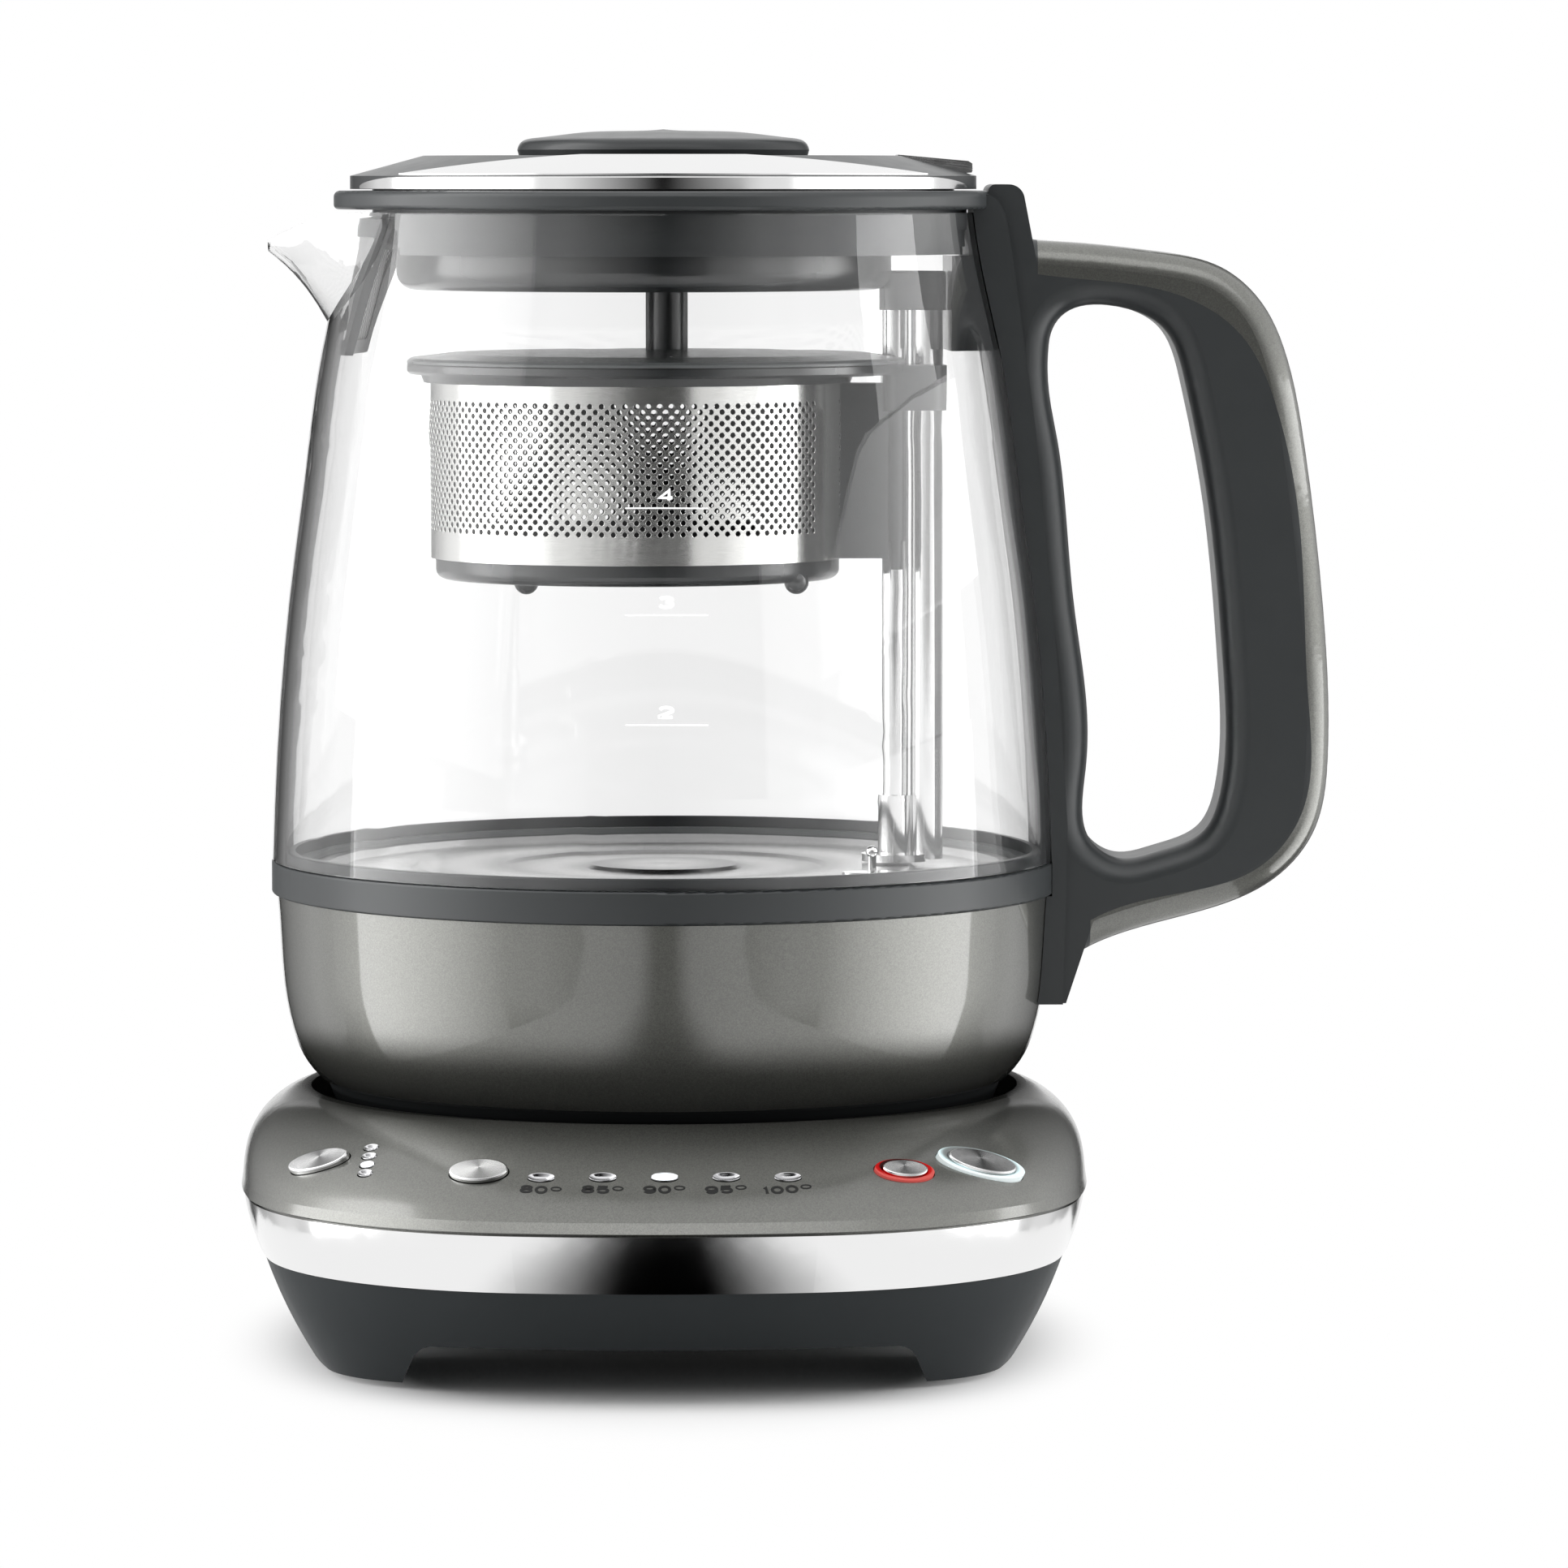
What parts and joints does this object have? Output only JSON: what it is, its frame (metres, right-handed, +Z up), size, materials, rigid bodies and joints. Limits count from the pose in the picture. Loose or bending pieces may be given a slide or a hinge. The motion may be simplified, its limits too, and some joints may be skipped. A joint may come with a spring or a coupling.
{
  "type": "automatic tea maker",
  "caption": "Automatic tea maker: glass jug with side handle, pouring lip, lift-out steel brew basket on two tubes, lift-off lid, and a corded heated base with push buttons.",
  "frame": {"origin": "on the surface the tea maker stands on, under the middle of its bounding box", "axes": "+Z up, +X towards the handle with the pouring lip at -X, -Y towards the user at the controls"},
  "size_m": [0.2066, 0.1652, 0.2307],
  "materials": {
    "tray_plastic": "fine texture, dark grey",
    "dark_plastic": "satin, dark grey",
    "smoked_plastic": "translucent, smoky",
    "grey_paint": "warm grey metallic lacquer",
    "deck_paint": "warm grey metallic lacquer",
    "bright_trim": "polished",
    "tab_metal": "silver, ribbed",
    "button_metal": "spun",
    "lamp_lens": "clear moulded",
    "red_lens": "lit red",
    "white_lens": "lit white",
    "jug_glass": "clear borosilicate",
    "plate_steel": "spun",
    "mesh_steel": "woven",
    "silicone": "soft",
    "foot_rubber": "soft",
    "screw_steel": "zinc plated",
    "board": "green board",
    "component": "black",
    "element": "cast",
    "connector": "heat-resistant nylon"
  },
  "bodies": {
    "base": {"base_tray": "tray_plastic", "foot_pads": "foot_rubber", "base_band": "bright_trim", "deck_panel": "deck_paint", "strength_lamps": "lamp_lens", "temperature_lamps": "lamp_lens", "keep_warm_halo": "red_lens", "start_halo": "white_lens", "tact_switches": "component", "control_board": "board", "power_board": "board", "power_relay": "component", "base_screws": "screw_steel", "base_connector": "connector", "cord_gland": "tray_plastic"},
    "strength_key": {"strength_button": "button_metal"},
    "temperature_key": {"temperature_button": "button_metal"},
    "keep_warm_key": {"keep_warm_button": "button_metal"},
    "start_key": {"start_button": "button_metal"},
    "swivel_socket": {"jug_connector": "connector"},
    "jug": {"jug_cover": "dark_plastic", "jug_screws": "screw_steel", "jug_housing": "grey_paint", "jug_collar": "dark_plastic", "plate_seal": "silicone", "heating_plate": "plate_steel", "heating_element": "element", "thermostat": "component", "temperature_probe": "plate_steel", "glass_jug": "jug_glass", "handle_spine": "dark_plastic", "rim_ring": "dark_plastic", "spout_filter_frame": "dark_plastic", "spout_filter_mesh": "mesh_steel", "rim_clamp": "dark_plastic", "handle_inlay": "grey_paint", "handle_grip": "dark_plastic"},
    "brew_unit": {"riser_tube": "plate_steel", "return_tube": "plate_steel", "tube_cap": "dark_plastic", "tube_foot": "plate_steel", "basket_frame": "dark_plastic", "strainer": "plate_steel", "basket_bottom": "dark_plastic", "siphon_box": "dark_plastic", "siphon_tube": "dark_plastic"},
    "basket_cover": {"basket_lid": "smoked_plastic", "lid_stem": "dark_plastic"},
    "lid": {"lid_cheeks": "bright_trim", "lid_band": "bright_trim", "lid_tab": "tab_metal", "lid_cover": "dark_plastic", "lid_plug": "dark_plastic", "lid_seal": "silicone", "lid_knob": "dark_plastic"}
  },
  "joints": [
    {"name": "strength_press", "type": "slide", "parent": "base", "child": "strength_key", "axis": [0.4761, 0.4055, -0.7803], "range_m": [0, 0.0008], "stiffness_N_per_m": 500},
    {"name": "temperature_press", "type": "slide", "parent": "base", "child": "temperature_key", "axis": [0.1428, 0.5152, -0.8451], "range_m": [0, 0.0008], "stiffness_N_per_m": 500},
    {"name": "keep_warm_press", "type": "slide", "parent": "base", "child": "keep_warm_key", "axis": [-0.2358, 0.4922, -0.838], "range_m": [0, 0.0008], "stiffness_N_per_m": 500},
    {"name": "start_press", "type": "slide", "parent": "base", "child": "start_key", "axis": [-0.3954, 0.4356, -0.8086], "range_m": [0, 0.0008], "stiffness_N_per_m": 500},
    {"name": "jug_lift", "type": "slide", "parent": "base", "child": "swivel_socket", "axis": [0, 0, 1], "range_m": [0, 0.06]},
    {"name": "jug_swivel", "type": "hinge", "parent": "swivel_socket", "child": "jug", "pos_m": [-0.02295, 0.00765, 0.044], "axis": [0, 0, 1], "continuous": true},
    {"name": "brew_unit_lift", "type": "slide", "parent": "jug", "child": "brew_unit", "axis": [0, 0, 1], "range_m": [0, 0.14]},
    {"name": "basket_lid_lift", "type": "slide", "parent": "brew_unit", "child": "basket_cover", "axis": [0, 0, 1], "range_m": [0, 0.04]},
    {"name": "lid_lift", "type": "slide", "parent": "basket_cover", "child": "lid", "axis": [0, 0, 1], "range_m": [0, 0.06]}
  ]
}
